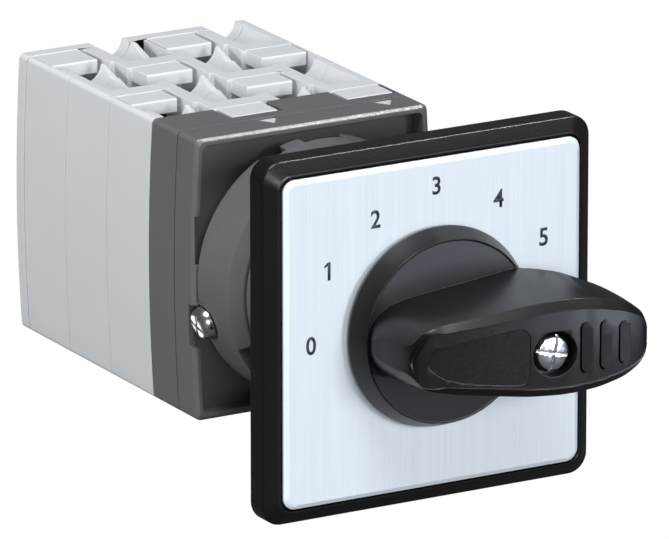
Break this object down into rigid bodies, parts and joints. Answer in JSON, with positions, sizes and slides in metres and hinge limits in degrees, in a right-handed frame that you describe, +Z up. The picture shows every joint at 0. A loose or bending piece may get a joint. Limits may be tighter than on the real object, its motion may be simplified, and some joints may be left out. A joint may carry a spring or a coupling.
{
  "type": "cam switch",
  "caption": "Panel-mounted rotary cam switch with a square front frame, a numbered legend plate, a lever handle and stacked contact decks with screw terminals.",
  "frame": {"origin": "on the shaft's axis, in the plane of the panel's face, which the back of the front frame lies on", "axes": "+X right and +Z up as seen from the front, +Y back through the panel along the shaft"},
  "size_m": [0.064, 0.1309, 0.064],
  "materials": {
    "frame_plastic": "fine moulded satin black polyamide",
    "handle_plastic": "satin black polyamide, fine spark-eroded texture",
    "dark_plastic": "dark grey moulded polyamide",
    "light_plastic": "light grey moulded polyamide",
    "legend_plate": "vertically brushed, pale silver",
    "zinc_steel": "bright zinc plate",
    "contact_metal": "silvered copper alloy",
    "spring_steel": "bright spring wire and strip",
    "acetal": "natural moulded acetal",
    "rubber": "black moulded rubber"
  },
  "bodies": {
    "housing": {"bayonet_collar": "dark_plastic", "bayonet_ring": "dark_plastic", "bridge_1_left": "contact_metal", "bridge_1_right": "contact_metal", "bridge_2_left": "contact_metal", "bridge_2_right": "contact_metal", "bridge_3_left": "contact_metal", "bridge_3_right": "contact_metal", "deck_1": "light_plastic", "deck_2": "light_plastic", "deck_3": "light_plastic", "detent_left": "acetal", "detent_right": "acetal", "detent_spring_left": "spring_steel", "detent_spring_right": "spring_steel", "front_frame": "frame_plastic", "legend_plate": "legend_plate", "locking_screw": "zinc_steel", "mech_cover": "dark_plastic", "mech_housing": "dark_plastic", "neck_sleeve": "frame_plastic", "panel_gasket": "rubber", "plunger_1_left": "acetal", "plunger_1_right": "acetal", "plunger_2_left": "acetal", "plunger_2_right": "acetal", "plunger_3_left": "acetal", "plunger_3_right": "acetal", "rear_cover": "light_plastic", "ring_nut": "frame_plastic", "spring_1_left": "spring_steel", "spring_1_right": "spring_steel", "spring_2_left": "spring_steel", "spring_2_right": "spring_steel", "spring_3_left": "spring_steel", "spring_3_right": "spring_steel", "stop_ring": "acetal", "terminal_1_bottom_left": "contact_metal", "terminal_1_bottom_right": "contact_metal", "terminal_1_top_left": "contact_metal", "terminal_1_top_right": "contact_metal", "terminal_2_bottom_left": "contact_metal", "terminal_2_bottom_right": "contact_metal", "terminal_2_top_left": "contact_metal", "terminal_2_top_right": "contact_metal", "terminal_3_bottom_left": "contact_metal", "terminal_3_bottom_right": "contact_metal", "terminal_3_top_left": "contact_metal", "terminal_3_top_right": "contact_metal", "tie_bolt_left": "zinc_steel", "tie_bolt_right": "zinc_steel"},
    "rotor": {"cam_1": "acetal", "cam_2": "acetal", "cam_3": "acetal", "handle": "handle_plastic", "handle_carrier": "handle_plastic", "handle_screw": "zinc_steel", "shaft": "zinc_steel", "star_wheel": "acetal", "stop_plate": "spring_steel"}
  },
  "joints": [
    {"name": "handle_turn", "type": "hinge", "parent": "housing", "child": "rotor", "pos_m": [0, 0, 0], "axis": [0, 1, 0], "range_deg": [0, 150]}
  ]
}
